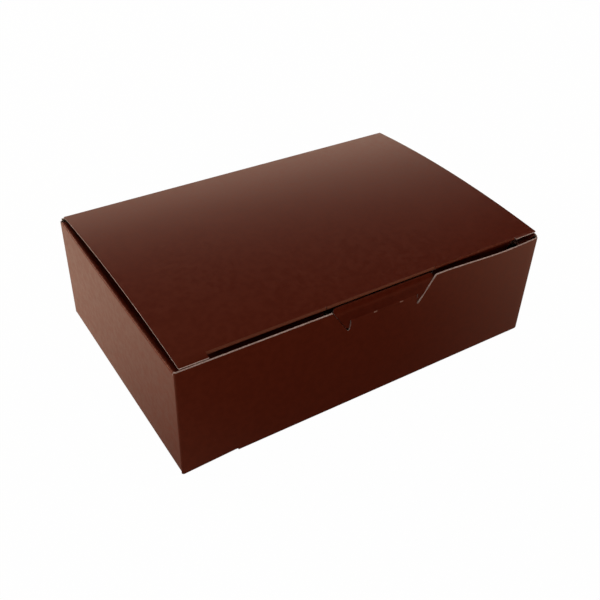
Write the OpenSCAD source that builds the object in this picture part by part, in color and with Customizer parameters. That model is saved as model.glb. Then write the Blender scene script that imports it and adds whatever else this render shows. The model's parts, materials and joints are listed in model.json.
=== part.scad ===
// Folding candy box of coated paperboard: one creased and glued blank with a glued side seam,
// a self-locking bottom, a hinged and bowed lid with a tuck flap, two side dust flaps and a
// front lock tongue. Origin at the centre of the underside, +X along the length, front wall
// towards -Y, +Z up, shown closed.

/* [Carton] */
// Outer length, along X
length = 178; // [140:1:230]
// Outer depth, front wall to back wall
depth = 118; // [95:1:150]
// Height of the front wall above the table
height = 53; // [42:1:75]

/* [Board] */
// Thickness of the paperboard
board_t = 0.5; // [0.35:0.05:0.7]
// Thickness of a glue film
glue_t = 0.1; // [0.05:0.05:0.15]
// Inner radius of a folded corner
fold_inner_r = 0.4; // [0.2:0.1:0.8]
// Running gap at a crease that moves
crease_gap = 0.3; // [0.2:0.05:0.5]

/* [Lid] */
// How much shorter the lid is than the carton at each end
lid_clear = 1.2; // [0.9:0.1:2]
// How far the lid sits to the right of the middle
lid_skew = 0.8; // [0:0.1:0.8]
// Height of the lid crease above the front wall's height, at the back
lid_back_rise = 0.3; // [0.2:0.1:1]
// Height of the tuck flap crease above the front wall's height
lid_front_rise = 1.4; // [1.2:0.1:2]
// How far the closed lid bows upwards between its creases
lid_crown = 2.6; // [1.5:0.1:4]
// Distance of the tuck flap crease behind the front face
crease_inset = 2.8; // [2.7:0.1:3.4]
// Distance of the lid's two front corners behind the front face
ear_inset = 0.5; // [0.4:0.1:1.5]
// Length of the cut edge at each of the lid's front corners
ear_len = 12; // [11:0.1:18]
// Corner radius of the lid
lid_corner_r = 0.6; // [0.4:0.1:3]

/* [Tuck flap] */
// Depth of the tuck flap below its crease
tuck_depth = 17; // [15:0.5:19]
// Inward lean of the closed tuck flap, in degrees
tuck_lean = 8; // [7:0.5:10]
// Corner radius of the tuck flap
tuck_corner_r = 7; // [3:0.5:10]
// How far each end of the tuck flap tapers in towards its free edge
tuck_taper = 2.5; // [1:0.5:5]
// Height of the slot that the tongue is pushed into, below the crease
slot_h = 9.3; // [9.2:0.1:10]

/* [Dust flaps] */
// Reach of a dust flap in from its side wall
dust_reach = 44; // [30:1:50]
// Width of the shoulder that runs on to the front wall
dust_shoulder = 9.5; // [8:0.5:10]
// Distance of the shoulder behind the front face
shoulder_inset = 1.6; // [1.2:0.1:3]
// Distance of the rest of the front edge behind the front face
dust_inset = 4.6; // [4.2:0.1:8]
// Distance of the flap's hinge line from the back face
dust_back_inset = 2.5; // [2.5:0.5:12]
// Slope of the tapered back edge, in degrees from the length
dust_taper = 48; // [42:1:60]
// Corner radius of a dust flap
dust_corner_r = 5; // [2:0.5:8]
// How much lower the side walls are than the front wall
side_drop = 0.75; // [0.7:0.05:1.2]

/* [Lock tongue] */
// Distance of the lock to the right of the middle
lock_shift = 4; // [-4:0.5:4]
// Width of the cut-out at the top edge of the front wall
lock_top_w = 52; // [40:1:60]
// Width between the lowest points of the side cuts
lock_foot_w = 36.2; // [30:0.1:38]
// Length of the tongue's crease
tongue_hinge_w = 33.4; // [24:0.1:34]
// Depth of the tongue's crease below the top of the front wall
tongue_drop = 7.2; // [6:0.1:9]
// Depth of the side cuts below the tongue's crease
barb_drop = 4.5; // [3:0.1:5]
// Length of the tongue above its crease
tongue_len = 8.3; // [7:0.1:8.6]
// Inward lean of the closed tongue, in degrees
tongue_lean = 12; // [9:0.5:13]
// Width of the cut round the tongue
kerf = 0.5; // [0.3:0.1:0.7]
// Radius of the tongue's top corners
tongue_corner_r = 1.5; // [0.5:0.1:2.5]

/* [Seam] */
// Width of the glued seam tab
seam_w = 16; // [10:0.5:20]
// Height that each end of the seam tab is cut back
seam_cut = 6; // [4:0.5:12]
// Width of bare board round a glue film
glue_margin = 2; // [1:0.5:4]

/* [Bottom] */
// Length of the raised free edge at the foot of each long wall
step_len = 25; // [18:0.5:30]
// Height of that free edge above the top of the folded edge beside it
step_rise = 0.1; // [0:0.1:0.4]
// Half the length of the interlocking part of the long bottom flaps
lock_half = 42; // [30:1:45]
// Reach of each long bottom flap past the middle
lap = 8; // [5:0.5:12]
// Distance of the plain free edges from the middle
free_edge_y = 12; // [10:0.5:16]
// Length over which the upper lap climbs one board
lap_climb = 7; // [4:0.5:10]
// Width of the slit between the two laps of a flap
lap_slit = 1; // [0.6:0.1:2]
// Size of a glue wing along each side of its corner
wing_run = 40; // [28:1:42]
// Radius of a bottom glue spot
glue_spot_r = 7; // [4:0.5:8]

/* [Hidden] */
$fn = 48;

brown = [0.26, 0.11, 0.07];
wing_brown = [0.32, 0.15, 0.10];
flap_brown = [0.30, 0.13, 0.08];
glue_cream = [0.85, 0.80, 0.68];

half_len = length / 2;
half_depth = depth / 2;
edge_r = board_t / 2;
fold_r = fold_inner_r + board_t;
step_z = fold_r + step_rise;
crease_setback = edge_r + crease_gap;
// Overrun of a cutting body past the faces that it cuts
cut_over = 1;

// Height of the side walls' creases, of the lid's back crease and of its front crease
side_z = height - side_drop;
lid_back_z = height + lid_back_rise;
lid_front_z = height + lid_front_rise;
lid_back_y = half_depth - edge_r;
lid_front_y = -half_depth + crease_inset;
lid_half_len = half_len - lid_clear;

// The lid follows one arc through its two creases
chord_y = lid_back_y - lid_front_y;
chord_z = lid_back_z - lid_front_z;
chord = sqrt(chord_y * chord_y + chord_z * chord_z);
lid_r = chord * chord / (8 * lid_crown) + lid_crown / 2;
arc_centre_y = (lid_back_y + lid_front_y) / 2 + (lid_r - lid_crown) * chord_z / chord;
arc_centre_z = (lid_back_z + lid_front_z) / 2 - (lid_r - lid_crown) * chord_y / chord;
// Facets of the lid's full circle, which give one facet about every 3 mm of its arc
lid_facets = 1440;

tuck_half_len = lid_half_len - ear_len;
tongue_z = height - tongue_drop;
cut_run = (lock_top_w - lock_foot_w) / 2;
cut_slope = cut_run / (tongue_drop + barb_drop);
cut_lean = atan(cut_slope);
// Half width of the cut-out at a height above the tongue's crease
function cut_half_w(z) = lock_foot_w / 2 + cut_slope * (z + barb_drop);
// Radius of the rounded foot of each side cut
cut_foot_r = (lock_foot_w - tongue_hinge_w) / 4;
slot_half_w = cut_half_w(tongue_len) + kerf;

// Layers of the bottom: long flaps below, side flaps above them
upper_z = board_t + glue_t;
flap_y = -half_depth + fold_r;
flap_x = half_len - fold_r;
seam_y = half_depth - board_t - glue_t - board_t;

// Parts of a glue wing's run at which its outer side ends and its blunt tip begins
wing_side_share = 0.8;
wing_tip_share = 0.2;
// Width of a side bottom flap's free edge as a part of its crease
side_tip_share = 0.62;

// Points of a round corner about a centre, from one angle to another
function round_corner(c, r, from, to, steps = 8) =
    [for (i = [0:steps]) let (a = from + (to - from) * i / steps) c + r * [cos(a), sin(a)]];

// A sheet in the XZ plane whose outer face is at y = 0, board_t thick towards +Y
module sheet_xz() {
    translate([0, board_t, 0]) rotate([90, 0, 0]) linear_extrude(board_t) children();
}

// A sheet in the XY plane, board_t thick upwards
module sheet_xy() {
    linear_extrude(board_t) children();
}

// Section of a folded corner: a quarter round about the centre, with a short leg upwards
module fold_section() {
    intersection() {
        difference() {
            circle(r = fold_r);
            circle(r = fold_inner_r);
        }
        translate([-fold_r, -fold_r]) square(fold_r);
    }
    translate([-fold_r, 0]) square([board_t, fold_r]);
}

// Upright folded corner, with its leg along the wall on the -Y side
module upright_fold(z_low, z_high) {
    translate([0, 0, z_low]) linear_extrude(z_high - z_low) mirror([1, -1]) fold_section();
}

// Folded corner along X, from the foot of a front wall to the flap under it
module foot_fold(run) {
    rotate([90, 0, 90]) linear_extrude(run) fold_section();
}

// Upright board panel along X with a rounded top edge on its crease
module rounded_panel_x(run, z_low, z_crease) {
    rotate([90, 0, 90]) linear_extrude(run) {
        translate([-edge_r, z_low]) square([board_t, z_crease - z_low]);
        translate([0, z_crease]) circle(r = edge_r);
    }
}

// Right half of the cut-out in the front wall, drawn about the middle of the tongue's crease
module half_lock_cutout() {
    top = tongue_drop + cut_over;
    foot_z = -barb_drop + cut_foot_r;
    foot_x = cut_half_w(foot_z) - cut_foot_r / cos(cut_lean);
    polygon([
        [-cut_over, top], [-cut_over, -edge_r], [tongue_hinge_w / 2, -edge_r],
        [foot_x - cut_foot_r, foot_z],
        [foot_x + cut_foot_r * cos(cut_lean), foot_z - cut_foot_r * sin(cut_lean)],
        [cut_half_w(top), top]
    ]);
    translate([foot_x, foot_z]) circle(r = cut_foot_r);
}

module lock_cutout() {
    half_lock_cutout();
    mirror([1, 0]) half_lock_cutout();
}

module front_wall() {
    color(brown) {
        translate([0, -half_depth, 0]) {
            sheet_xz() difference() {
                translate([-flap_x, step_z]) square([2 * flap_x, height - step_z]);
                translate([lock_shift, tongue_z]) lock_cutout();
            }
            translate([lock_shift - tongue_hinge_w / 2, edge_r, 0])
                rounded_panel_x(tongue_hinge_w, tongue_z - board_t, tongue_z);
        }
        translate([-flap_x, flap_y, 0]) upright_fold(step_z, height);
        mirror([1, 0, 0]) translate([-flap_x, flap_y, 0]) upright_fold(fold_r, height);
        translate([-half_len + step_len, flap_y, fold_r]) foot_fold(flap_x + half_len - step_len);
    }
}

module back_wall() {
    foot_run = flap_x + half_len - step_len;
    color(brown) {
        translate([-flap_x, half_depth - edge_r, 0])
            rounded_panel_x(half_len + flap_x - glue_t, step_z, lid_back_z);
        mirror([0, 1, 0]) translate([-flap_x, flap_y, 0]) upright_fold(fold_r, side_z);
        mirror([0, 1, 0]) translate([-flap_x, flap_y, fold_r]) foot_fold(foot_run);
    }
}

// Side wall at -X, from its foot fold to the round edge on the dust flap's crease
module side_wall(back_y) {
    foot_z = upper_z + fold_r;
    run = back_y - flap_y;
    translate([-half_len + edge_r, back_y, 0])
        rotate([0, 0, -90]) rounded_panel_x(run, foot_z, side_z);
    translate([-flap_x, back_y, foot_z]) rotate([0, 0, -90]) foot_fold(run);
}

module left_wall() {
    color(brown) side_wall(-flap_y);
}

module right_wall() {
    tab_fold_y = seam_y - fold_inner_r;
    color(brown) {
        mirror([1, 0, 0]) side_wall(tab_fold_y);
        mirror([1, 0, 0]) mirror([0, 1, 0]) translate([-flap_x, -tab_fold_y, 0])
            mirror([1, -1, 0]) upright_fold(seam_cut, side_z - seam_cut);
    }
}

module seam_tab() {
    color(flap_brown)
        translate([flap_x, seam_y, 0]) sheet_xz() polygon([
            [0, seam_cut], [-seam_w, 2 * seam_cut],
            [-seam_w, side_z - 2 * seam_cut], [0, side_z - seam_cut]
        ]);
}

module seam_glue() {
    low = 2 * seam_cut + glue_margin;
    color(glue_cream)
        translate([flap_x - seam_w + glue_margin, seam_y + board_t, low])
            cube([seam_w - 2 * glue_margin, glue_t, side_z - 2 * low]);
}

// Plan of the lid, with its cut front corners and the notch for the tuck flap's crease
module lid_plan() {
    front_y = -half_depth + ear_inset;
    back_y = lid_back_y - crease_setback;
    r = lid_corner_r;
    difference() {
        polygon(concat(
            round_corner([-lid_half_len + r, front_y + r], r, 180, 270),
            round_corner([lid_half_len - r, front_y + r], r, 270, 360),
            [[lid_half_len, back_y], [-lid_half_len, back_y]]
        ));
        translate([-tuck_half_len, front_y - cut_over])
            square([2 * tuck_half_len, lid_front_y - front_y + cut_over]);
    }
}

module lid_panel() {
    color(brown) translate([lid_skew, 0, 0]) {
        intersection() {
            linear_extrude(height + lid_front_rise + lid_crown + cut_over) lid_plan();
            translate([-half_len, arc_centre_y, arc_centre_z])
                rotate([90, 0, 90]) linear_extrude(length) difference() {
                    circle(r = lid_r + edge_r, $fn = lid_facets);
                    circle(r = lid_r - edge_r, $fn = lid_facets);
                }
        }
        translate([-tuck_half_len, lid_front_y, lid_front_z])
            rotate([0, 90, 0]) cylinder(r = edge_r, h = 2 * tuck_half_len);
    }
}

module tuck_flap() {
    r = tuck_corner_r;
    foot = tuck_half_len - tuck_taper;
    color(flap_brown)
        translate([lid_skew, lid_front_y, lid_front_z]) rotate([tuck_lean, 0, 0])
            translate([0, -edge_r, 0]) sheet_xz() difference() {
                polygon(concat(
                    [[tuck_half_len, -crease_setback], [-tuck_half_len, -crease_setback]],
                    round_corner([-foot + r, -tuck_depth + r], r, 180, 270),
                    round_corner([foot - r, -tuck_depth + r], r, 270, 360)
                ));
                translate([lock_shift - lid_skew - slot_half_w, -slot_h])
                    square([2 * slot_half_w, slot_h]);
            }
}

// Dust flap of the side wall at -X, flat at rest, with its crease on x = 0
module dust_flap() {
    r = dust_corner_r;
    front = -half_depth + dust_inset;
    back = half_depth - dust_back_inset;
    tip_back = back - (dust_reach - crease_setback) * tan(dust_taper);
    translate([0, 0, -edge_r]) sheet_xy() polygon(concat(
        [
            [crease_setback, -half_depth + shoulder_inset],
            [dust_shoulder, -half_depth + shoulder_inset], [dust_shoulder, front]
        ],
        round_corner([dust_reach - r, front + r], r, 270, 360),
        round_corner(
            [dust_reach - r, tip_back + r * tan(dust_taper) - r / cos(dust_taper)],
            r, 0, 90 - dust_taper
        ),
        [[crease_setback, back]]
    ));
}

module left_dust_flap() {
    color(flap_brown) translate([-half_len + edge_r, 0, side_z]) dust_flap();
}

module right_dust_flap() {
    color(flap_brown) mirror([1, 0, 0]) translate([-half_len + edge_r, 0, side_z]) dust_flap();
}

// Barb of the tongue beside its crease, in the plane of the front wall
module barb() {
    top = crease_setback + board_t;
    inner = tongue_hinge_w / 2 + kerf;
    foot = -barb_drop + 3 * kerf;
    polygon([
        [inner, foot], [cut_half_w(foot) - kerf, foot], [cut_half_w(top) - kerf, top], [inner, top]
    ]);
}

module lock_tongue() {
    r = tongue_corner_r;
    corner_z = tongue_len - r;
    corner_x = cut_half_w(corner_z) - kerf - r / cos(cut_lean);
    root_half = cut_half_w(crease_setback) - kerf;
    color(brown) translate([lock_shift, -half_depth + edge_r, tongue_z]) {
        rotate([-tongue_lean, 0, 0]) translate([0, -edge_r, 0]) sheet_xz() polygon(concat(
            [[-root_half, crease_setback], [root_half, crease_setback]],
            round_corner([corner_x, corner_z], r, -cut_lean, 90),
            round_corner([-corner_x, corner_z], r, 90, 180 + cut_lean)
        ));
        for (side = [0, 1])
            mirror([side, 0, 0]) translate([0, -edge_r, 0]) sheet_xz() barb();
    }
}

// Long bottom flap of the front wall: one half runs flat under the other flap, and the other
// half climbs one board and laps over it
module long_bottom_flap() {
    left_x = -half_len + step_len;
    climb_y = -lap - lap_climb;
    slit_half = lap_slit / 2;
    sheet_xy() polygon([
        [left_x, flap_y], [flap_x, flap_y], [flap_x - wing_run, flap_y + wing_run],
        [lock_half, -free_edge_y], [lock_half, lap], [slit_half, lap], [slit_half, climb_y],
        [-lock_half, climb_y], [left_x, climb_y - free_edge_y]
    ]);
    translate([-lock_half, 0, 0]) rotate([90, 0, 90]) linear_extrude(lock_half - slit_half)
        polygon([
            [climb_y, 0], [-lap, board_t], [lap, board_t], [lap, 2 * board_t],
            [-lap, 2 * board_t], [climb_y, board_t]
        ]);
}

module front_bottom_flap() {
    color(brown) long_bottom_flap();
}

module back_bottom_flap() {
    color(brown) rotate([0, 0, 180]) long_bottom_flap();
}

// Glue wing beyond the diagonal crease of a long bottom flap
module glue_wing() {
    sheet_xy() polygon([
        [flap_x, flap_y], [flap_x, flap_y + wing_run * wing_side_share],
        [flap_x - wing_run * wing_tip_share, flap_y + wing_run],
        [flap_x - wing_run, flap_y + wing_run]
    ]);
}

module front_glue_wing() {
    color(wing_brown) glue_wing();
}

module back_glue_wing() {
    color(wing_brown) rotate([0, 0, 180]) glue_wing();
}

// Side bottom flap at -X, which lies on a glue wing and closes its end of the bottom
module side_bottom_flap() {
    root = half_depth - fold_r - board_t;
    tip_x = -lock_half - board_t;
    translate([0, 0, upper_z]) sheet_xy() polygon([
        [-flap_x, -root], [tip_x, -root * side_tip_share],
        [tip_x, root * side_tip_share], [-flap_x, root]
    ]);
}

module left_bottom_flap() {
    color(flap_brown) side_bottom_flap();
}

module right_bottom_flap() {
    color(flap_brown) mirror([1, 0, 0]) side_bottom_flap();
}

module bottom_glue() {
    color(glue_cream) for (turn = [0, 180])
        rotate([0, 0, turn])
            translate([
                flap_x - wing_run / 2 + glue_spot_r, flap_y + wing_run / 2 + glue_spot_r, board_t
            ])
                cylinder(r = glue_spot_r, h = glue_t);
}

front_wall();
back_wall();
left_wall();
right_wall();
seam_tab();
seam_glue();
lid_panel();
tuck_flap();
left_dust_flap();
right_dust_flap();
lock_tongue();
front_bottom_flap();
back_bottom_flap();
left_bottom_flap();
right_bottom_flap();
front_glue_wing();
back_glue_wing();
bottom_glue();
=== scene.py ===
import json
import math

import bmesh
import bpy
from mathutils import Matrix, Vector


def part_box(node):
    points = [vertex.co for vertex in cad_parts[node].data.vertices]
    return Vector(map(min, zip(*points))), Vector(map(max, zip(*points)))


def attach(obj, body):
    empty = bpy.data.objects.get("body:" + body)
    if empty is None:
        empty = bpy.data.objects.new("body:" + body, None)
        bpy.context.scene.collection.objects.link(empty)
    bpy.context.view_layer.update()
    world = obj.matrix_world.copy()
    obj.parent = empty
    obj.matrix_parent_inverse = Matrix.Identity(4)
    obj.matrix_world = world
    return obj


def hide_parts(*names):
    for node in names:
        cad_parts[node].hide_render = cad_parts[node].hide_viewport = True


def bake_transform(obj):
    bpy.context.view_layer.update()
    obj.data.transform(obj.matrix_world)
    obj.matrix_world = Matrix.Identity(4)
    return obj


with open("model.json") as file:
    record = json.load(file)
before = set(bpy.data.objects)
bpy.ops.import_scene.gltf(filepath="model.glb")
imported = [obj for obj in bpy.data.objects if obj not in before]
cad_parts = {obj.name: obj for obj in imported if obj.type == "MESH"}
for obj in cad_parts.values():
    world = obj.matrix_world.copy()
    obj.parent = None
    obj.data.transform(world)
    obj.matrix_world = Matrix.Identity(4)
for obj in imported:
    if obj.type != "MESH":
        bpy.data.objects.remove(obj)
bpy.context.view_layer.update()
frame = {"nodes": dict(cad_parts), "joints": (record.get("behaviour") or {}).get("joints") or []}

# A folding candy box. Every panel is bent board in place of its CAD node, with strips of bent
# board over the moving creases. The flat plates and the glue keep their CAD meshes

# Sizes read from the frame. All lengths in this file are in metres
JOINT = {j["name"]: Vector(j["pos_m"]) for j in frame["joints"]}
WALL_LOW, WALL_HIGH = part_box("front_wall")
LID_LOW, LID_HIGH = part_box("lid_panel")
HALF_LEN = WALL_HIGH.x
FRONT_Y = WALL_LOW.y
BACK_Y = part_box("back_wall")[1].y
HEIGHT = WALL_HIGH.z
LID_BACK = JOINT["lid_hinge"]
LID_FRONT = JOINT["tuck_crease"]
TONGUE_AXIS = JOINT["lock_tongue_crease"]
SIDE_Z = JOINT["left_dust_crease"].z
BOARD = 2 * (TONGUE_AXIS.y - FRONT_Y)
HALF_BOARD = BOARD / 2

# Board and folds
FOLD_INNER_R = 0.0004
FOLD_MID_R = FOLD_INNER_R + HALF_BOARD
FOLD_R = FOLD_INNER_R + BOARD
FOLD_RUN = FOLD_MID_R * math.pi / 2
CREASE_SETBACK = 0.00055
FLAP_X = HALF_LEN - FOLD_R
FLAP_Y = FRONT_Y + FOLD_R

# Lid
LID_CROWN = 0.0026
LID_CORNER_R = 0.0006
EAR_LEN = 0.012
LEFT_EAR_DROOP = 0.0003
RIGHT_EAR_LIFT = 0.0003
RIGHT_EAR_TRIM = 0.0013

# Tuck flap
TUCK_DEPTH = 0.017
TUCK_LEAN = math.radians(8)
TUCK_CORNER_R = 0.007
TUCK_TAPER = 0.0025
TUCK_BOW = 0.0010
TUCK_BOW_RUN = 0.0006
SLOT_HALF_W = 0.02724
SLOT_DEPTH = 0.0093

# Dust flaps, and the side walls' top edges where they are folded
DUST_REACH = 0.044
DUST_SHOULDER = 0.0095
SHOULDER_INSET = 0.0016
DUST_INSET = 0.0046
DUST_BACK_INSET = 0.0025
DUST_TAPER = math.radians(48)
DUST_CORNER_R = 0.005
SIDE_SAG = 0.0006
FLAP_DIP = 0.0034
FLAP_DIP_FROM = 0.0013
FLAP_DIP_RUN = 0.008
FLAP_FADE = 0.15
FLAP_TRIM = 0.0006
FLAP_LIFT = 0.0012
FLAP_LIFT_RUN = 0.0045
FLAP_LIFT_PART = 7  # The lift reaches over a seventh of the depth

# Lock tongue and the cut round it
TONGUE_LEN = 0.0083
TONGUE_CURL = math.radians(52)
TONGUE_UPRIGHT = 0.5
TONGUE_SLIP = 0.00022
TONGUE_TWIST = 0.0007
TONGUE_HINGE_HALF = 0.0167
TONGUE_CORNER_R = 0.0015
LOCK_FOOT_HALF = 0.0181
LOCK_TOP_HALF = 0.026
TONGUE_DROP = 0.0072
BARB_DROP = 0.0045
KERF = 0.0005
BARB_GAP = 3 * KERF
CUT_FOOT_R = 0.0007
CUT_BEVEL = 0.0004

# Torn ties on the tongue's crease
NICK_APART = 0.0132
NICK_SHIFT = 0.0019
NICK_HALF_W = 0.0008
NICK_HALF_H = 0.0003
NICK_DEPTH = 0.00012

# Front wall
TOP_BURR = 0.00025
TOP_DIP = 0.0016
TOP_DIP_FROM = 0.031
TOP_DIP_PAST = 0.020
TOP_DIP_FADE = 3
FOOT_AT_CORNER = 0.0002
FOOT_AT_STEP = 0.0015

# Bottom and seam
GLUE_T = 0.0001
STEP_LEN = 0.025
STEP_Z = 0.001
LOCK_HALF = 0.042
LAP = 0.008
LAP_CLIMB = 0.007
FREE_EDGE_Y = 0.012
LAP_SLIT_HALF = 0.0005
WING_RUN = 0.040
UPPER_Z = BOARD + GLUE_T
SEAM_Y = BACK_Y - 2 * BOARD - GLUE_T
SEAM_CUT = 0.006

# How finely the board is divided where it bends
CORNER_STEPS = 8
CREASE_STEPS = 8
FOLD_STEPS = 6
LID_CUTS = 60
TUCK_CUTS = 9
TUCK_FIRST_CUT = 0.0002
TUCK_CUT_GROWTH = 1.6
SAG_CUTS = 24
DIP_CUTS = 14
FLAP_CUTS = 5
UPRIGHT_CUTS = 4
TONGUE_CUTS = 24
TWIST_CUTS = 4

# Tolerances
SLICE_TOLERANCE = 1e-7
EDGE_TOLERANCE = 1e-6
CUT_TOLERANCE = 1e-5

# Colours, linear
PRINT = (0.126, 0.0180, 0.0080)
PRINT_DARK = (0.110, 0.0150, 0.0066)
# Pale worn print: the scuffs' colour, also used for the painted highlights on the folds and the
# light end of the cut edges' painted shade
PRINT_WEAR_AND_HIGHLIGHT = (0.21, 0.074, 0.047)
PRINT_SHEEN = (1.0, 0.44, 0.24)
INSIDE = (0.62, 0.57, 0.49)
INSIDE_FLECK = (0.47, 0.41, 0.33)
RAW = (0.62, 0.54, 0.56)
RAW_DARK = (0.42, 0.33, 0.33)
TIE = (0.36, 0.20, 0.16)
GLUE = (0.66, 0.58, 0.40)
FIBRE_HEIGHT = 0.0001

# Floor and background
FLOOR_HALF = 3.0
UNDER_INSET = 0.004
FLOOR_GREY = (0.8, 0.8, 0.8)
# Darker than the floor's grey: painted shade under the box
UNDER_BOX_SHADE_GREY = (0.5, 0.5, 0.5)
FLOOR_GLOW = 0.99
# The floor glows for glossy rays only, a painted reflection in the box's coat: dim round DIM_SPOT
# in front of the box, warm and bright further off
DIM_SPOT = (-0.01, -0.11)
DIM_SPOT_REACH = (0.04, 0.235)
REFLECTION_GLOW_DIM = (0.05, 0.03, 0.02)
REFLECTION_GLOW_BRIGHT = (0.98, 0.72, 0.54)
FILL_STRENGTH = 0.015

# Soft boxes: azimuth and elevation in degrees, distance, width, height, power in watts.
# Azimuth 0 is behind the box and 90 to its right
WARM_LIGHT = (1.0, 0.78, 0.62)
LIGHTS = (
    ("back_box", 25, 14, 1.2, 1.4, 0.35, 3.4),
    ("left_box", -60, 22, 1.0, 0.6, 0.6, 0.4),
    ("right_box", 112, 45, 1.2, 0.5, 0.5, 3.6),
    ("behind_box", -36, 16, 1.2, 1.0, 0.5, 11.8),
    ("top_box", -10, 70, 1.2, 0.7, 0.7, 0.8),
    ("front_box", 200, 8, 1.2, 0.8, 0.3, 2.5)
)

# The camera as fitted to the seven visible corners, with angles in degrees, lens and sensor in mm
CAMERA_PLACE = (-0.16765, -0.25435, 0.24514)
CAMERA_AZIMUTH = 33.684
CAMERA_DOWN = 37.383
CAMERA_ROLL = 2.161
CAMERA_LENS = 48.36
CAMERA_SENSOR = 36
CAMERA_NEAR = 0.01

X = Vector((1, 0, 0))
Y = Vector((0, 1, 0))
Z = Vector((0, 0, 1))

# The lid's arc in the YZ plane, through its back and front creases
CHORD = LID_BACK - LID_FRONT
ARC_R = CHORD.length ** 2 / (8 * LID_CROWN) + LID_CROWN / 2
ARC_CENTRE = (LID_BACK + LID_FRONT) / 2 - X.cross(CHORD.normalized()) * (ARC_R - LID_CROWN)

# The lid and its tuck flap lie off the walls' middle by LID_SKEW
LID_SKEW = (LID_LOW.x + LID_HIGH.x) / 2
LID_HALF_LEN = (LID_HIGH.x - LID_LOW.x) / 2
LID_LEFT = LID_SKEW - LID_HALF_LEN
LID_RIGHT = LID_SKEW + LID_HALF_LEN
TUCK_HALF_LEN = LID_HALF_LEN - EAR_LEN
TUCK_LEFT = LID_SKEW - TUCK_HALF_LEN
TUCK_RIGHT = LID_SKEW + TUCK_HALF_LEN

# The slant of the lock's cuts
CUT_SLOPE = (LOCK_TOP_HALF - LOCK_FOOT_HALF) / (TONGUE_DROP + BARB_DROP)
CUT_LEAN = math.atan(CUT_SLOPE)


def noise(tree, coords, scale, detail, stretch=(1, 1, 1)):
    mapping = tree.nodes.new("ShaderNodeMapping")
    mapping.inputs["Scale"].default_value = stretch
    tree.links.new(coords, mapping.inputs["Vector"])
    tex = tree.nodes.new("ShaderNodeTexNoise")
    tex.inputs["Scale"].default_value = scale
    tex.inputs["Detail"].default_value = detail
    tree.links.new(mapping.outputs["Vector"], tex.inputs["Vector"])
    return tex.outputs["Fac"]


def ramp(tree, value, low, high, first=0, last=1):
    """A soft step from first to last while the value goes from low to high."""
    node = tree.nodes.new("ShaderNodeMapRange")
    node.interpolation_type = "SMOOTHSTEP"
    node.inputs["From Min"].default_value = low
    node.inputs["From Max"].default_value = high
    node.inputs["To Min"].default_value = first
    node.inputs["To Max"].default_value = last
    tree.links.new(value, node.inputs["Value"])
    return node.outputs["Result"]


def mix(tree, factor, a, b):
    """A mix of two colours. Each is a tuple or an output socket."""
    node = tree.nodes.new("ShaderNodeMix")
    node.data_type = "RGBA"
    tree.links.new(factor, node.inputs[0])
    for socket, value in ((node.inputs[6], a), (node.inputs[7], b)):
        if isinstance(value, tuple):
            socket.default_value = (*value, 1)
        else:
            tree.links.new(value, socket)
    return node.outputs[2]


def mix_shader(tree, factor, a, b):
    node = tree.nodes.new("ShaderNodeMixShader")
    for socket, value in zip(node.inputs, (factor, a, b)):
        tree.links.new(value, socket)
    return node.outputs[0]


def bump(tree, height, strength, distance, normal=None):
    node = tree.nodes.new("ShaderNodeBump")
    node.inputs["Strength"].default_value = strength
    node.inputs["Distance"].default_value = distance
    tree.links.new(height, node.inputs["Height"])
    if normal is not None:
        tree.links.new(normal, node.inputs["Normal"])
    return node.outputs["Normal"]


def new_material(name):
    material = bpy.data.materials.new(name)
    material.use_nodes = True
    tree = material.node_tree
    shader = tree.nodes["Principled BSDF"]
    coords = tree.nodes.new("ShaderNodeTexCoord").outputs["Object"]
    return material, tree, shader, coords


def fibres(tree, shader, coords, scale, detail, strength):
    """Fine fibres as bump."""
    height = noise(tree, coords, scale, detail)
    tree.links.new(bump(tree, height, strength, FIBRE_HEIGHT), shader.inputs["Normal"])


def satin(shader, level):
    """The sheen of the print's coat, warm because it lies over the print."""
    shader.inputs["Specular IOR Level"].default_value = level
    shader.inputs["Specular Tint"].default_value = (*PRINT_SHEEN, 1)


def print_colour(tree, coords, shade=1):
    mottle = ramp(tree, noise(tree, coords, scale=420, detail=3), low=0.35, high=0.65)
    dark, light = (tuple(c * shade for c in tone) for tone in (PRINT_DARK, PRINT))
    return mix(tree, mottle, dark, light)


def inside_colour(tree, coords):
    flecks = noise(tree, coords, scale=1300, detail=6, stretch=(0.3, 1, 1))
    flecks = ramp(tree, flecks, low=0.56, high=0.74, last=0.7)
    return mix(tree, flecks, INSIDE, INSIDE_FLECK)


def printed_material(name, coat, shade=1):
    """Brown print under a satin coat, with the board's fine grain showing through."""
    material, tree, shader, coords = new_material(name)
    scuff = noise(tree, coords, scale=900, detail=6, stretch=(0.35, 1, 1))
    scuff = ramp(tree, scuff, low=0.70, high=0.82, last=0.35)
    colour = mix(tree, scuff, print_colour(tree, coords, shade), PRINT_WEAR_AND_HIGHLIGHT)
    tree.links.new(colour, shader.inputs["Base Color"])
    grain = noise(tree, coords, scale=2600, detail=3, stretch=(0.6, 1, 1))
    waves = noise(tree, coords, scale=22, detail=1)
    normal = bump(tree, waves, strength=0.05, distance=0.001)
    normal = bump(tree, grain, strength=0.10, distance=0.00006, normal=normal)
    tree.links.new(normal, shader.inputs["Normal"])
    rough = noise(tree, coords, scale=420, detail=4)
    rough = ramp(tree, rough, low=0.3, high=0.7, first=0.31, last=0.38)
    tree.links.new(rough, shader.inputs["Roughness"])
    satin(shader, coat)
    return material


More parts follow.
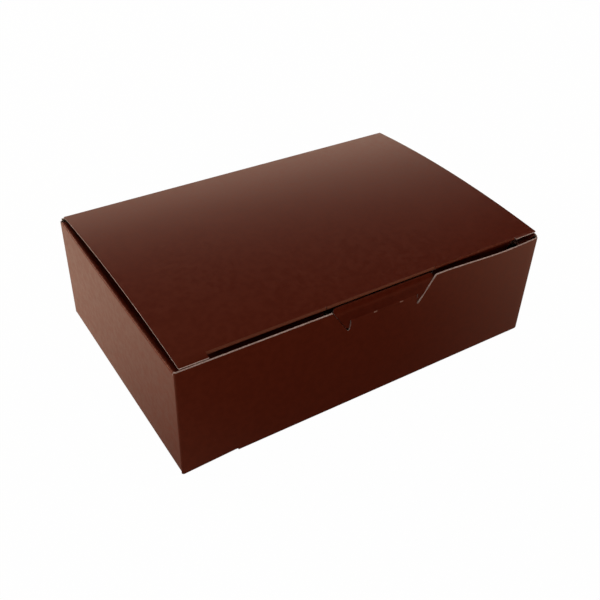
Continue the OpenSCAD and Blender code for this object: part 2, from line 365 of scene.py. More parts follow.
def crease_material(name, low_wear_and_highlight, high_wear_and_highlight):
    """The print where the board is folded: cracked a little, so the core shows in specks, and the
    pale share also paints a highlight along the fold.
    """
    material, tree, shader, coords = new_material(name)
    cracks_and_highlight = noise(tree, coords, scale=1500, detail=5, stretch=(0.5, 0.5, 1))
    cracks_and_highlight = ramp(tree, cracks_and_highlight, low=0.48, high=0.70, first=low_wear_and_highlight, last=high_wear_and_highlight)
    colour = mix(tree, cracks_and_highlight, print_colour(tree, coords), PRINT_WEAR_AND_HIGHLIGHT)
    tree.links.new(colour, shader.inputs["Base Color"])
    fibres(tree, shader, coords, scale=2200, detail=4, strength=0.4)
    shader.inputs["Roughness"].default_value = 0.5
    satin(shader, level=0.3)
    return material


def stain_and_shade_material(name, dark, light):
    """Mottled fibres: brown-stained at the torn ties, and in the print's browns a painted shade on
    cut edges.
    """
    material, tree, shader, coords = new_material(name)
    blotch = ramp(tree, noise(tree, coords, scale=1600, detail=5), low=0.4, high=0.7, last=0.5)
    tree.links.new(mix(tree, blotch, dark, light), shader.inputs["Base Color"])
    fibres(tree, shader, coords, scale=5000, detail=3, strength=0.4)
    shader.inputs["Roughness"].default_value = 0.8
    return material


def raw_material(name, shade=1):
    """The cut edge of the board: pressed fibres, darker where the print was dragged in."""
    material, tree, shader, coords = new_material(name)
    drag = ramp(tree, noise(tree, coords, scale=1800, detail=6), low=0.35, high=0.65)
    dark, light = (tuple(c * shade for c in tone) for tone in (RAW_DARK, RAW))
    tree.links.new(mix(tree, drag, dark, light), shader.inputs["Base Color"])
    fibres(tree, shader, coords, scale=5000, detail=3, strength=0.5)
    shader.inputs["Roughness"].default_value = 0.9
    return material


def inside_material():
    """The uncoated, unprinted face of the board."""
    material, tree, shader, coords = new_material("inside_board")
    tree.links.new(inside_colour(tree, coords), shader.inputs["Base Color"])
    fibres(tree, shader, coords, scale=3000, detail=5, strength=0.35)
    shader.inputs["Roughness"].default_value = 0.85
    return material


def plate_material(name, axis, outer_sign):
    """Board for a flat CAD plate: print, inside and cut edge told apart by the face's own side."""
    material, tree, shader, coords = new_material(name)
    normal = tree.nodes.new("ShaderNodeTexCoord").outputs["Normal"]
    split = tree.nodes.new("ShaderNodeSeparateXYZ")
    tree.links.new(normal, split.inputs["Vector"])
    side = split.outputs[axis]
    low, high = 0.5 * outer_sign, 0.6 * outer_sign
    is_outer = ramp(tree, side, low, high)
    is_inner = ramp(tree, side, -low, -high)
    colour = mix(tree, is_outer, RAW, print_colour(tree, coords))
    colour = mix(tree, is_inner, colour, inside_colour(tree, coords))
    tree.links.new(colour, shader.inputs["Base Color"])
    fibres(tree, shader, coords, scale=2600, detail=4, strength=0.25)
    rough = ramp(tree, side, -low, low, first=0.85, last=0.42)
    tree.links.new(rough, shader.inputs["Roughness"])
    return material


def glue_material():
    """A dried film of glue."""
    material, tree, shader, coords = new_material("dried_glue")
    film = ramp(tree, noise(tree, coords, scale=500, detail=4), low=0.3, high=0.7)
    tree.links.new(mix(tree, film, GLUE, INSIDE_FLECK), shader.inputs["Base Color"])
    fibres(tree, shader, coords, scale=900, detail=3, strength=0.4)
    shader.inputs["Roughness"].default_value = 0.3
    return material


def floor_material():
    """White for the camera. For glossy rays it glows: a painted reflection, dim near the box and
    bright further off.
    """
    material, tree, shader, coords = new_material("studio_floor")
    shader.inputs["Base Color"].default_value = (*FLOOR_GREY, 1)
    shader.inputs["Roughness"].default_value = 0.9
    shader.inputs["Specular IOR Level"].default_value = 0
    rays = tree.nodes.new("ShaderNodeLightPath")
    glow = tree.nodes.new("ShaderNodeEmission")
    share = tree.nodes.new("ShaderNodeMath")
    share.operation = "MULTIPLY"
    share.inputs[1].default_value = FLOOR_GLOW
    tree.links.new(rays.outputs["Is Camera Ray"], share.inputs[0])
    seen = mix_shader(tree, share.outputs[0], shader.outputs[0], glow.outputs[0])
    # The painted reflection's glow, by the distance from DIM_SPOT
    distance = tree.nodes.new("ShaderNodeVectorMath")
    distance.operation = "DISTANCE"
    distance.inputs[1].default_value = (*DIM_SPOT, 0)
    tree.links.new(coords, distance.inputs[0])
    far = ramp(tree, distance.outputs["Value"], *DIM_SPOT_REACH)
    reflection_glow = tree.nodes.new("ShaderNodeEmission")
    tree.links.new(mix(tree, far, REFLECTION_GLOW_DIM, REFLECTION_GLOW_BRIGHT), reflection_glow.inputs["Color"])
    surface = mix_shader(tree, rays.outputs["Is Glossy Ray"], seen, reflection_glow.outputs[0])
    tree.links.new(surface, tree.nodes["Material Output"].inputs["Surface"])
    return material


def under_box_material():
    """The floor under the box. It does not glow, so nothing shines through the bottom's slits, and
    its grey is darker than the floor's: painted shade under the box.
    """
    material, _, shader, _ = new_material("floor_under_box")
    shader.inputs["Base Color"].default_value = (*UNDER_BOX_SHADE_GREY, 1)
    return material


PRINTED = printed_material("printed_board", coat=0.42)
# A darker copy of the print with less sheen: painted shade on the lock tongue under the lid's fold
# and on the dust flaps in the gaps under the lid
PRINT_PAINTED_SHADE = printed_material("print_painted_shade", coat=0.14, shade=0.84)
# Folds: pale specks where the print cracks, raised above the cracks alone to paint a highlight
# along the folds
CREASED = crease_material("creased_board", low_wear_and_highlight=0, high_wear_and_highlight=0.6)
# The fold's print made almost all pale: a painted highlight along the left half of the lid's front
# fold and on the slot's lip
FOLD_PAINTED_HIGHLIGHT = crease_material("fold_painted_highlight", low_wear_and_highlight=0.8, high_wear_and_highlight=1)
RAW_EDGE = raw_material("raw_edge")
# A darker copy of the cut edge: painted shade on edges that face the side
EDGE_PAINTED_SHADE = raw_material("edge_painted_shade", shade=0.68)
# A lighter copy of the cut edge: painted light on the lid's and the front wall's cut edges
EDGE_PAINTED_LIGHT = raw_material("edge_painted_light", shade=1.35)
INSIDE_BOARD = inside_material()
# Cut edges in the print's browns in place of the pale core: painted shade on the tongue's and the
# dust flaps' edges
EDGE_PAINTED_DEEP_SHADE = stain_and_shade_material("edge_painted_deep_shade", PRINT_DARK, PRINT_WEAR_AND_HIGHLIGHT)
TORN_TIE = stain_and_shade_material("torn_tie", TIE, RAW)

# Material slots of a piece of board
OUTER_FACE, INNER_FACE, RIM, SIDE_RIM = range(4)


def add_object(name, data):
    thing = bpy.data.objects.new(name, data)
    bpy.context.scene.collection.objects.link(thing)
    return thing


def round_corner(u, v, r, start, end):
    """Points of a round corner about (u, v), from one angle in degrees to another."""
    turn = end - start
    angles = [math.radians(start + turn * i / CORNER_STEPS) for i in range(CORNER_STEPS + 1)]
    return [(u + r * math.cos(a), v + r * math.sin(a)) for a in angles]


def both_sides(half, x, z):
    """A symmetric outline, with its middle at x and raised by z, from its right half."""
    right = [(x + u, z + v) for u, v in half]
    return right + [(x - u, z + v) for u, v in reversed(half)]


def spaced(low, high, count):
    """Values between low and high, both left out."""
    return [low + (high - low) * (i + 1) / (count + 1) for i in range(count)]


def flat_mesh(outline, cuts_u, cuts_v):
    """The outline as a triangulated face, cut along lines of constant u and v."""
    bm = bmesh.new()
    bm.faces.new([bm.verts.new((u, v, 0)) for u, v in outline])
    bm.normal_update()
    bmesh.ops.triangulate(bm, faces=bm.faces[:])
    for values, direction in ((cuts_u, X), (cuts_v, Y)):
        for value in values:
            geom = bm.verts[:] + bm.edges[:] + bm.faces[:]
            bmesh.ops.bisect_plane(
                bm, geom=geom, dist=SLICE_TOLERANCE, plane_co=direction * value,
                plane_no=direction
            )
    bm.verts.index_update()
    bm.normal_update()
    return bm


def board(name, outline, place, cuts_u=(), cuts_v=(), outer=PRINTED, rim=RAW_EDGE,
          side_rim=None, bevel=None):
    """A piece of board. place(u, v) gives the point of its middle surface and the outward side.

    bevel(u, v) shifts the inner face. side_rim is for the edges that run along v.
    """
    bm = flat_mesh(outline, cuts_u, cuts_v)
    count = len(bm.verts)
    outside, inside = [], []
    for vert in bm.verts:
        u, v = vert.co.x, vert.co.y
        point, side = place(u, v)
        shift = bevel(u, v) if bevel else Vector()
        outside.append(point + side * HALF_BOARD)
        inside.append(point - side * HALF_BOARD + shift)
    faces = [[v.index for v in f.verts] for f in bm.faces]
    a, b, c = (outside[i] for i in faces[0][:3])
    faces_out = (b - a).cross(c - a).dot(a - inside[faces[0][0]]) > 0
    rims, rim_slots = [], []
    for edge in bm.edges:
        if len(edge.link_loops) == 1:
            start = edge.link_loops[0].vert
            end = edge.link_loops[0].link_loop_next.vert
            rims.append([end.index, start.index, start.index + count, end.index + count])
            run = end.co - start.co
            rim_slots.append(SIDE_RIM if side_rim and abs(run.y) > abs(run.x) else RIM)
    bm.free()
    backs = [[i + count for i in reversed(f)] for f in faces]
    polygons = faces + backs + rims
    if not faces_out:
        polygons = [list(reversed(p)) for p in polygons]
    mesh = bpy.data.meshes.new(name)
    mesh.from_pydata(outside + inside, [], polygons)
    slots = [OUTER_FACE] * len(faces) + [INNER_FACE] * len(backs) + rim_slots
    for polygon, slot in zip(mesh.polygons, slots):
        polygon.material_index = slot
        polygon.use_smooth = slot in (OUTER_FACE, INNER_FACE)
    for material in (outer, INSIDE_BOARD, rim, side_rim):
        if material:
            mesh.materials.append(material)
    rim_edges = {tuple(sorted(pair)) for quad in rims for pair in zip(quad, quad[1:] + quad[:1])}
    for edge in mesh.edges:
        edge.use_edge_sharp = tuple(sorted(edge.vertices)) in rim_edges
    mesh.validate()
    piece = add_object(name, mesh)
    return piece


def bezier(a, b, c, s):
    """Point and direction of a curve from a to c that heads for b."""
    point = a * (1 - s) ** 2 + b * (2 * s * (1 - s)) + c * s ** 2
    return point, ((b - a) * (1 - s) + (c - b) * s).normalized()


def crease(name, low, high, a, corner, c, outward, bodies, outer=CREASED, rim=RAW_EDGE):
    """A strip of bent board from a to c round a crease that runs along X from low to high."""
    def place(u, v):
        point, heading = bezier(a, corner, c, v)
        side = heading.cross(X)
        if side.dot(outward) < 0:
            side = -side
        return X * u + point, side

    outline = [(low, 0), (high, 0), (high, 1), (low, 1)]
    cuts = spaced(0, 1, CREASE_STEPS - 1)
    strip = board(name, outline, place, cuts_v=cuts, outer=outer, rim=rim)
    if bodies[0] == bodies[1]:
        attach(strip, bodies[0])
    else:
        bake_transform(strip)


def lid_place(u, v):
    """The lid over (x, y)."""
    dy = v - ARC_CENTRE.y
    past_crease = min(max((LID_FRONT.y - v) / (LID_FRONT.y - LID_LOW.y), 0), 1)
    droop = past_crease * (LEFT_EAR_DROOP if u < 0 else -RIGHT_EAR_LIFT)
    point = Vector((u, v, ARC_CENTRE.z + math.sqrt(ARC_R ** 2 - dy ** 2) - droop))
    return point, Vector((0, dy, point.z - ARC_CENTRE.z)).normalized()


def build_lid():
    """The bowed lid with its two ears beside the tuck flap."""
    r = LID_CORNER_R
    front = LID_LOW.y
    right_front = front + RIGHT_EAR_TRIM
    back = LID_BACK.y - CREASE_SETBACK
    crease_y = LID_FRONT.y + CREASE_SETBACK
    outline = (
        round_corner(LID_LEFT + r, front + r, r, 180, 270)
        + [(TUCK_LEFT, front), (TUCK_LEFT, crease_y), (TUCK_RIGHT, crease_y),
           (TUCK_RIGHT, right_front)]
        + round_corner(LID_RIGHT - r, right_front + r, r, 270, 360)
        + [(LID_RIGHT, back), (LID_LEFT, back)]
    )
    # The lid's cut edges take the lighter copy of the cut edge and its side edges the darker one:
    # painted light and shade
    lid = board("lid_panel_board", outline, lid_place, cuts_v=spaced(front, back, LID_CUTS),
                rim=EDGE_PAINTED_LIGHT, side_rim=EDGE_PAINTED_SHADE)
    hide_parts("lid_panel")
    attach(lid, "lid")


def tuck_place(u, v):
    """The tuck flap at a depth -v below its crease, drawn in sharply where it is folded."""
    run = (v + CREASE_SETBACK) / TUCK_BOW_RUN
    drawn_in = TUCK_BOW * (1 - math.exp(-run ** 2))
    point = Vector((u, LID_FRONT.y - v * math.sin(TUCK_LEAN) + drawn_in,
                    LID_FRONT.z + v * math.cos(TUCK_LEAN)))
    inwards = math.sin(TUCK_LEAN) - TUCK_BOW / TUCK_BOW_RUN * 2 * run * math.exp(-run ** 2)
    return point, Vector((0, -math.cos(TUCK_LEAN), -inwards)).normalized()


def build_tuck_flap():
    """The tuck flap, the crease on each side of its slot and the lid's folded lip over it."""
    r = TUCK_CORNER_R
    foot = TUCK_HALF_LEN - TUCK_TAPER
    top = -CREASE_SETBACK
    slot_left = TONGUE_AXIS.x - SLOT_HALF_W
    slot_right = TONGUE_AXIS.x + SLOT_HALF_W
    outline = (
        [(TUCK_LEFT, top)]
        + round_corner(LID_SKEW - foot + r, -TUCK_DEPTH + r, r, 180, 270)
        + round_corner(LID_SKEW + foot - r, -TUCK_DEPTH + r, r, 270, 360)
        + [(TUCK_RIGHT, top), (slot_right, top), (slot_right, -SLOT_DEPTH),
           (slot_left, -SLOT_DEPTH), (slot_left, top)]
    )
    cuts = [top - TUCK_FIRST_CUT * TUCK_CUT_GROWTH ** i for i in range(TUCK_CUTS)]
    flap = board("tuck_flap_board", outline, tuck_place, cuts_v=cuts)
    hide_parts("tuck_flap")
    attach(flap, "tuck")
    above, _ = lid_place(0, LID_FRONT.y + CREASE_SETBACK)
    below, _ = tuck_place(0, top)
    corner = Vector((0, LID_FRONT.y, LID_FRONT.z))
    outward = Vector((0, -1, 1))
    # The left crease and the lip carry the painted highlight along the lid's front fold; the right
    # crease keeps the plain fold
    for name, low, high, bodies, outer in (
        ("tuck_crease_left", TUCK_LEFT, slot_left, ("lid", "tuck"), FOLD_PAINTED_HIGHLIGHT),
        ("tuck_crease_right", slot_right, TUCK_RIGHT, ("lid", "tuck"), CREASED),
        ("slot_lip", slot_left + KERF / 2, slot_right - KERF / 2, ("lid", "lid"), FOLD_PAINTED_HIGHLIGHT)
    ):
        crease(name, low, high, above, corner, below, outward, bodies, outer, CREASED)


def depth_share(y):
    """0 at the front wall, 1 at the back wall."""
    return (y - FRONT_Y) / (BACK_Y - FRONT_Y)


def ends_fade(y):
    """1 in the middle of the depth, 0 at the front and back walls."""
    share = depth_share(y)
    return max(4 * share * (1 - share), 0) ** FLAP_FADE


def corner_lift(y, side):
    """How far the right wall's crease springs up near its front end."""
    return FLAP_LIFT * max(1 - depth_share(y) * FLAP_LIFT_PART, 0) if side > 0 else 0


def side_sag(y, side):
    """How far a side wall's crease sags at y."""
    share = depth_share(y)
    return SIDE_SAG * 4 * share * (1 - share) - corner_lift(y, side)


def build_dust_flap(name, side):
    """A dust flap and its crease. side is -1 on the left, 1 on the right."""
    body = name.replace("_flap", "")
    axis_x = side * abs(JOINT["left_dust_crease"].x)

    def place(u, v):
        lift = corner_lift(v, side)
        sag = (side_sag(v, side) + lift) * max(1 - u / FLAP_DIP_RUN, 0)
        sag -= lift * max(1 - u / FLAP_LIFT_RUN, 0)
        run = min(max(u - FLAP_DIP_FROM, 0) / FLAP_DIP_RUN, 1)
        sag += FLAP_DIP * math.sin(run * math.pi / 2) * ends_fade(v)
        return Vector((axis_x - side * u, v, SIDE_Z - sag)), Z

    r = DUST_CORNER_R
    front = FRONT_Y + DUST_INSET + FLAP_TRIM
    back = BACK_Y - DUST_BACK_INSET
    shoulder = FRONT_Y + SHOULDER_INSET
    tip_back = back - (DUST_REACH - CREASE_SETBACK) * math.tan(DUST_TAPER)
    corner_v = tip_back + r * math.tan(DUST_TAPER) - r / math.cos(DUST_TAPER)
    outline = (
        [(CREASE_SETBACK, shoulder), (DUST_SHOULDER, shoulder), (DUST_SHOULDER, front)]
        + round_corner(DUST_REACH - r, front + r, r, 270, 360)
        + round_corner(DUST_REACH - r, corner_v, r, 0, 90 - math.degrees(DUST_TAPER))
        + [(CREASE_SETBACK, back)]
    )
    dip_end = FLAP_DIP_FROM + FLAP_DIP_RUN
    cuts_u = spaced(CREASE_SETBACK, dip_end, DIP_CUTS) + spaced(dip_end, DUST_REACH, FLAP_CUTS)
    cuts_v = spaced(shoulder, back, SAG_CUTS)
    # The dust flap's print is the darker copy and its cut edge is print brown: painted shade under
    # the lid
    flap = board(name + "_board", outline, place, cuts_u, cuts_v, outer=PRINT_PAINTED_SHADE,
                 rim=EDGE_PAINTED_DEEP_SHADE)
    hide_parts(name)
    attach(flap, body)

    corner = Vector((axis_x, 0, SIDE_Z))
    wall_end = (axis_x, 0, SIDE_Z - CREASE_SETBACK)
    flap_end = (axis_x - side * CREASE_SETBACK, 0, SIDE_Z)

    def fold_place(u, v):
        point, heading = bezier(Vector(wall_end), corner, Vector(flap_end), u)
        out = heading.cross(Y) * side
        if out.z + side * out.x < 0:
            out = -out
        return point + Y * v - Z * side_sag(v, side), out

    fold_outline = [(0, shoulder), (1, shoulder), (1, back), (0, back)]
    fold = board(name.replace("flap", "crease"), fold_outline, fold_place,
                 spaced(0, 1, CREASE_STEPS - 1), cuts_v, CREASED)
    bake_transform(fold)


def fold_steps():
    """Distances along a fold at which it is cut."""
    return [FOLD_RUN * i / FOLD_STEPS for i in range(FOLD_STEPS)]


def end_cuts():
    """Cuts through the two end folds of a long wall."""
    return [sign * (FLAP_X + step) for step in fold_steps() for sign in (-1, 1)]


def wrap_place(u, v):
    """The front wall over (x, z), with its ends folded round the upright corners."""
    over = max(abs(u) - FLAP_X, 0)
    angle = over / FOLD_MID_R
    sign = math.copysign(1, u)
    centre = Vector((sign * FLAP_X, FRONT_Y + FOLD_R, v))
    if over == 0:
        return Vector((u, FRONT_Y + HALF_BOARD, v)), -Y
    out = Vector((sign * math.sin(angle), -math.cos(angle), 0))
    return centre + out * FOLD_MID_R, out


def top_dip(x):
    """How far the front wall's top edge dips between the lock and the right end."""
    share = min(max((x - TOP_DIP_FROM) / (HALF_LEN + TOP_DIP_PAST - TOP_DIP_FROM), 0), 1)
    return TOP_DIP * math.sin(share * math.pi) ** 2


def cut_half_w(v):
    """Half width of the lock's cut at a height above the tongue's crease."""
    return LOCK_FOOT_HALF + CUT_SLOPE * (v + BARB_DROP)


def lock_cut():
    """The outline of the opening that the lock leaves in the front wall."""
    foot_v = -BARB_DROP + CUT_FOOT_R
    foot_u = cut_half_w(foot_v) - CUT_FOOT_R / math.cos(CUT_LEAN)
    half = (
        [(cut_half_w(TONGUE_DROP), TONGUE_DROP)]
        + round_corner(foot_u, foot_v, CUT_FOOT_R, -math.degrees(CUT_LEAN), -180)
        + [(TONGUE_HINGE_HALF, -CREASE_SETBACK)]
    )
    return both_sides(half, TONGUE_AXIS.x, TONGUE_AXIS.z)


def build_front_wall():
    """The front wall, with the opening for the lock in its top edge."""
    end = FLAP_X + FOLD_RUN
    step_x = -HALF_LEN + STEP_LEN
    outline = (
        [(-end, FOOT_AT_CORNER), (-FLAP_X, FOOT_AT_CORNER), (step_x, FOOT_AT_STEP),
         (step_x, FOLD_R), (end, FOLD_R), (end, HEIGHT)]
        + lock_cut() + [(-end, HEIGHT)]
    )

    def place(u, v):
        point, out = wrap_place(u, v)
        return point - Z * top_dip(u) * max(v / HEIGHT, 0) ** TOP_DIP_FADE, out

    def bevel(u, v):
        """The knife leaves a slant on the lock's right cut and a burr behind the top edge."""
        cut_u = TONGUE_AXIS.x + cut_half_w(v - TONGUE_AXIS.z)
        on_cut = abs(cut_u - u) < CUT_TOLERANCE
        on_top = v > HEIGHT - EDGE_TOLERANCE
        return X * (-CUT_BEVEL if on_cut else 0) + Z * (TOP_BURR if on_top else 0)

    cuts_u = end_cuts() + spaced(TOP_DIP_FROM, FLAP_X, DIP_CUTS)
    cuts_v = spaced(TONGUE_AXIS.z, HEIGHT, UPRIGHT_CUTS)
    # Its cut edges take the lighter copy of the cut edge: painted light
    wall = board("front_wall_board", outline, place, cuts_u, cuts_v, rim=EDGE_PAINTED_LIGHT,
                 bevel=bevel)
    # The board isn't cut along the tongue's crease, so no raw edge shows there
    crease_z = TONGUE_AXIS.z - CREASE_SETBACK
    for polygon in wall.data.polygons:
        if polygon.material_index == RIM and abs(polygon.center.z - crease_z) < EDGE_TOLERANCE:
            polygon.material_index = OUTER_FACE
    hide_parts("front_wall")
    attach(wall, "carton")


def tongue_place(u, v):
    """The tongue at a distance v above its crease: upright, then curling in towards its head."""
    root = Vector((u - TONGUE_SLIP, TONGUE_AXIS.y, TONGUE_AXIS.z))
    upright = TONGUE_LEN * TONGUE_UPRIGHT
    curl_r = (TONGUE_LEN - upright) / TONGUE_CURL
    lean = max(v - upright, 0) / curl_r
    bent = Vector((0, curl_r * (1 - math.cos(lean)), min(v, upright) + curl_r * math.sin(lean)))
    right = min(max((u - TONGUE_AXIS.x) / LOCK_FOOT_HALF, 0), 1)
    past_crease = max(abs(v) - CREASE_SETBACK, 0)
    share = min(past_crease / BARB_DROP, 1) * (1 - max(v, 0) / TONGUE_LEN)
    bent.y += TONGUE_TWIST * right * share
    return root + bent, Vector((0, -math.cos(lean), math.sin(lean)))


def build_tongue():
    """The lock tongue and its crease, which runs between the two hooks."""
    cx = TONGUE_AXIS.x
    r = TONGUE_CORNER_R
    corner_v = TONGUE_LEN - r
    corner_u = cut_half_w(corner_v) - KERF - r / math.cos(CUT_LEAN)
    barb_v = -BARB_DROP + BARB_GAP
    inner = TONGUE_HINGE_HALF + KERF
    half = (
        [(inner, CREASE_SETBACK), (inner, barb_v), (cut_half_w(barb_v) - KERF, barb_v)]
        + round_corner(corner_u, corner_v, r, -math.degrees(CUT_LEAN), 90)
    )
    # The tongue's print is the darker copy, its cut edges print brown and its side edges the
    # darker raw copy: painted shade
    tongue = board("lock_tongue_board", both_sides(half, cx, 0), tongue_place,
                   spaced(cx, cx + inner, TWIST_CUTS),
                   spaced(-BARB_DROP, TONGUE_LEN, TONGUE_CUTS),
                   outer=PRINT_PAINTED_SHADE, rim=EDGE_PAINTED_DEEP_SHADE, side_rim=EDGE_PAINTED_SHADE)
    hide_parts("lock_tongue")
    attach(tongue, "tongue")
    low, _ = tongue_place(0, -CREASE_SETBACK)
    high, _ = tongue_place(0, CREASE_SETBACK)
    corner = Vector((0, TONGUE_AXIS.y, TONGUE_AXIS.z))
    crease("lock_tongue_crease", cx - TONGUE_HINGE_HALF, cx + TONGUE_HINGE_HALF,
           low, corner, high, -Y, ("carton", "tongue"), PRINTED)


def build_back_wall():
    """The back wall, its flat right end that the seam is glued to, and the lid's crease."""
    def place(u, v):
        point, out = wrap_place(u, v)
        return Vector((point.x, -point.y, v)), Vector((out.x, -out.y, 0))

    def end_place(u, v):
        return Vector((u, BACK_Y - HALF_BOARD, v)), Y

    top = LID_BACK.z - CREASE_SETBACK
    side_top = SIDE_Z - CREASE_SETBACK
    left = -FLAP_X - FOLD_RUN
    right = HALF_LEN - GLUE_T
    step_x = HALF_LEN - STEP_LEN
    outline = [
        (left, FOLD_R), (step_x, FOLD_R), (step_x, STEP_Z), (FLAP_X, STEP_Z), (FLAP_X, top),
        (-FLAP_X, top), (-FLAP_X, side_top), (left, side_top)
    ]
    wall = board("back_wall_board", outline, place, end_cuts())
    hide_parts("back_wall")
    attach(wall, "carton")
    end_outline = [(FLAP_X, STEP_Z), (right, STEP_Z), (right, top), (FLAP_X, top)]
    end_strip = board("back_wall_end", end_outline, end_place)
    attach(end_strip, "carton")
    low = Vector((0, LID_BACK.y, top))
    corner = Vector((0, LID_BACK.y, LID_BACK.z))
    high, _ = lid_place(0, LID_BACK.y - CREASE_SETBACK)
    crease("lid_crease", LID_LEFT, LID_RIGHT, low, corner, high, Vector((0, 1, 1)),
           ("carton", "lid"))


def build_side_wall(name, side, back):
    """A side wall up to its crease, with the fold of its bottom flap at its foot."""
    mid_x = side * (HALF_LEN - HALF_BOARD)
    foot_z = UPPER_Z + FOLD_R
    top = SIDE_Z - CREASE_SETBACK

    def place(u, v):
        sag = side_sag(u, side) * max(v - foot_z, 0) / (top - foot_z)
        if v >= foot_z:
            return Vector((mid_x, u, v - sag)), X * side
        angle = (foot_z - v) / FOLD_MID_R
        out = Vector((side * math.cos(angle), 0, -math.sin(angle)))
        return Vector((side * FLAP_X, u, foot_z)) + out * FOLD_MID_R, out

    low = foot_z - FOLD_RUN
    outline = [(FLAP_Y, low), (back, low), (back, top), (FLAP_Y, top)]
    cuts_u = spaced(FLAP_Y, back, SAG_CUTS)
    cuts_v = [foot_z - step for step in fold_steps()] + spaced(foot_z, top, UPRIGHT_CUTS)
    wall = board(name + "_board", outline, place, cuts_u, cuts_v)
    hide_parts(name)
    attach(wall, "carton")


def build_seam_fold():
    """The upright fold between the right wall and the seam tab."""
    fold_y = SEAM_Y - FOLD_INNER_R

    def place(u, v):
        angle = u / FOLD_MID_R
        out = Vector((math.cos(angle), math.sin(angle), 0))
        return Vector((FLAP_X, fold_y, v)) + out * FOLD_MID_R, out

    top = SIDE_Z - SEAM_CUT
    outline = [(0, SEAM_CUT), (FOLD_RUN, SEAM_CUT), (FOLD_RUN, top), (0, top)]
    cuts = spaced(0, FOLD_RUN, FOLD_STEPS - 1)
    fold = board("seam_fold", outline, place, cuts, outer=CREASED)
    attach(fold, "carton")


def build_long_bottom_flap(name, turn):
    """A long bottom flap, with the fold at its wall's foot. turn is 1 at the front, -1 behind."""
    left = -HALF_LEN + STEP_LEN
    climb_v = -LAP - LAP_CLIMB
    turned = Matrix.Diagonal((turn, turn, 1))

    def place(u, v):
        lift = 0
        if u < 0 and v > climb_v:
            lift = BOARD * min((v - climb_v) / LAP_CLIMB, 1)
        point, out = Vector((u, v, HALF_BOARD + lift)), -Z
        if v < FLAP_Y:
            angle = (FLAP_Y - v) / FOLD_MID_R
            out = Vector((0, -math.sin(angle), -math.cos(angle)))
            point = Vector((u, FLAP_Y, FOLD_R)) + out * FOLD_MID_R
        return turned @ point, turned @ out

    low = FLAP_Y - FOLD_RUN
    outline = [
        (left, low), (FLAP_X, low), (FLAP_X, FLAP_Y), (FLAP_X - WING_RUN, FLAP_Y + WING_RUN),
        (LOCK_HALF, -FREE_EDGE_Y), (LOCK_HALF, LAP), (LAP_SLIT_HALF, LAP),
        (LAP_SLIT_HALF, climb_v), (-LAP_SLIT_HALF, climb_v), (-LAP_SLIT_HALF, LAP),
        (-LOCK_HALF, LAP), (-LOCK_HALF, climb_v), (left, climb_v - FREE_EDGE_Y)
    ]
    cuts_v = [FLAP_Y - step for step in fold_steps()] + [climb_v, -LAP]
    flap = board(name + "_board", outline, place, cuts_u=[0], cuts_v=cuts_v)
    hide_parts(name)
    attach(flap, "carton")


def dress_plates():
    """The flat plates keep their CAD meshes and only get materials."""
    down = plate_material("plate_print_below", axis=2, outer_sign=-1)
    back = plate_material("plate_print_behind", axis=1, outer_sign=1)
    glue = glue_material()
    for name, material in (
        ("left_bottom_flap", down), ("right_bottom_flap", down), ("front_glue_wing", down),
        ("back_glue_wing", down), ("seam_tab", back), ("seam_glue", glue), ("bottom_glue", glue)
    ):
        node = frame["nodes"][name]
        node.data.materials.clear()
        node.data.materials.append(material)


def build_nicks():
    """Two torn ties on the tongue's crease, where the core shows."""
    sides = [(0, 1, 2, 3), (7, 6, 5, 4), (0, 4, 5, 1), (1, 5, 6, 2), (2, 6, 7, 3), (3, 7, 4, 0)]
    for name, sign in (("nick_left", -1), ("nick_right", 1)):
        x = TONGUE_AXIS.x + NICK_SHIFT + sign * NICK_APART / 2
        corners = [
            (x + a * NICK_HALF_W, y, TONGUE_AXIS.z + c * NICK_HALF_H)
            for y in (FRONT_Y, FRONT_Y + NICK_DEPTH)
            for a, c in ((-1, -1), (1, -1), (1, 1), (-1, 1))
        ]
        mesh = bpy.data.meshes.new(name)
        mesh.from_pydata(corners, [], sides)
        mesh.materials.append(TORN_TIE)
        nick = add_object(name, mesh)
        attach(nick, "carton")


def build_floor():
    """The floor, with the patch under the box as a face of its own."""
    corners = [
        (x, y, 0)
        for x0, x1, y0, y1 in (
            (-FLOOR_HALF, FLOOR_HALF, -FLOOR_HALF, FLOOR_HALF),
            (-HALF_LEN + UNDER_INSET, HALF_LEN, FRONT_Y + UNDER_INSET, BACK_Y)
        )
        for x, y in ((x0, y0), (x1, y0), (x1, y1), (x0, y1))
    ]
    ring = [(i, (i + 1) % 4, (i + 1) % 4 + 4, i + 4) for i in range(4)]
    patch = (4, 5, 6, 7)
    mesh = bpy.data.meshes.new("floor")
    mesh.from_pydata(corners, [], ring + [patch])
    mesh.materials.append(floor_material())
    mesh.materials.append(under_box_material())
    mesh.polygons[len(ring)].material_index = 1
    add_object("floor", mesh)


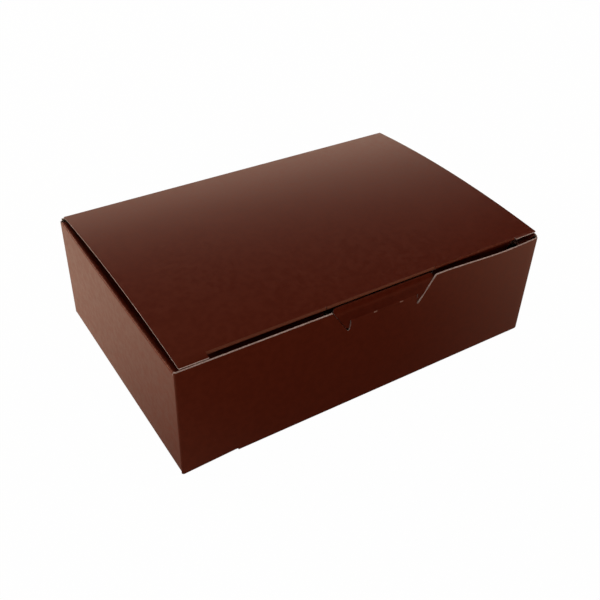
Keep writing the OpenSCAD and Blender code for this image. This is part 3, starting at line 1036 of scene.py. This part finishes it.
def build_world():
    """A white background for the camera and a faint fill for everything else."""
    world = bpy.data.worlds.new("studio")
    bpy.context.scene.world = world
    world.use_nodes = True
    tree = world.node_tree
    fill = tree.nodes["Background"]
    fill.inputs["Strength"].default_value = FILL_STRENGTH
    white = tree.nodes.new("ShaderNodeBackground")
    for node in (fill, white):
        node.inputs["Color"].default_value = (1, 1, 1, 1)
    rays = tree.nodes.new("ShaderNodeLightPath")
    surface = mix_shader(tree, rays.outputs["Is Camera Ray"], fill.outputs[0], white.outputs[0])
    tree.links.new(surface, tree.nodes["World Output"].inputs["Surface"])


def area_light(name, azimuth, elevation, distance, width, height, power):
    """A soft box that looks at the middle of the object."""
    light = bpy.data.lights.new(name, "AREA")
    light.shape = "RECTANGLE"
    light.size = width
    light.size_y = height
    light.energy = power
    light.color = WARM_LIGHT
    a, e = math.radians(azimuth), math.radians(elevation)
    place = Vector((math.sin(a) * math.cos(e), math.cos(a) * math.cos(e), math.sin(e)))
    lamp = add_object(name, light)
    lamp.location = place * distance
    lamp.rotation_euler = place.to_track_quat("Z", "Y").to_euler()


def build_camera():
    az, el, roll = (math.radians(v) for v in (CAMERA_AZIMUTH, CAMERA_DOWN, CAMERA_ROLL))
    forward = Vector((math.sin(az) * math.cos(el), math.cos(az) * math.cos(el), -math.sin(el)))
    right = Vector((math.cos(az), -math.sin(az), 0))
    up = right.cross(forward)
    tilted_right = right * math.cos(roll) + up * math.sin(roll)
    tilted_up = tilted_right.cross(forward)
    axes = Matrix((tilted_right, tilted_up, -forward)).transposed()
    data = bpy.data.cameras.new("photo_camera")
    data.sensor_width = CAMERA_SENSOR
    data.sensor_fit = "HORIZONTAL"
    data.lens = CAMERA_LENS
    data.clip_start = CAMERA_NEAR
    camera = add_object("photo_camera", data)
    camera.matrix_world = Matrix.Translation(CAMERA_PLACE) @ axes.to_4x4()
    bpy.context.scene.camera = camera


build_lid()
build_tuck_flap()
build_dust_flap("left_dust_flap", -1)
build_dust_flap("right_dust_flap", 1)
build_front_wall()
build_tongue()
build_back_wall()
build_side_wall("left_wall", -1, -FLAP_Y)
build_side_wall("right_wall", 1, SEAM_Y - FOLD_INNER_R)
build_seam_fold()
build_long_bottom_flap("front_bottom_flap", 1)
build_long_bottom_flap("back_bottom_flap", -1)
dress_plates()
build_nicks()
build_floor()
build_world()
for light in LIGHTS:
    area_light(*light)
build_camera()
bpy.context.scene.view_settings.view_transform = "Standard"
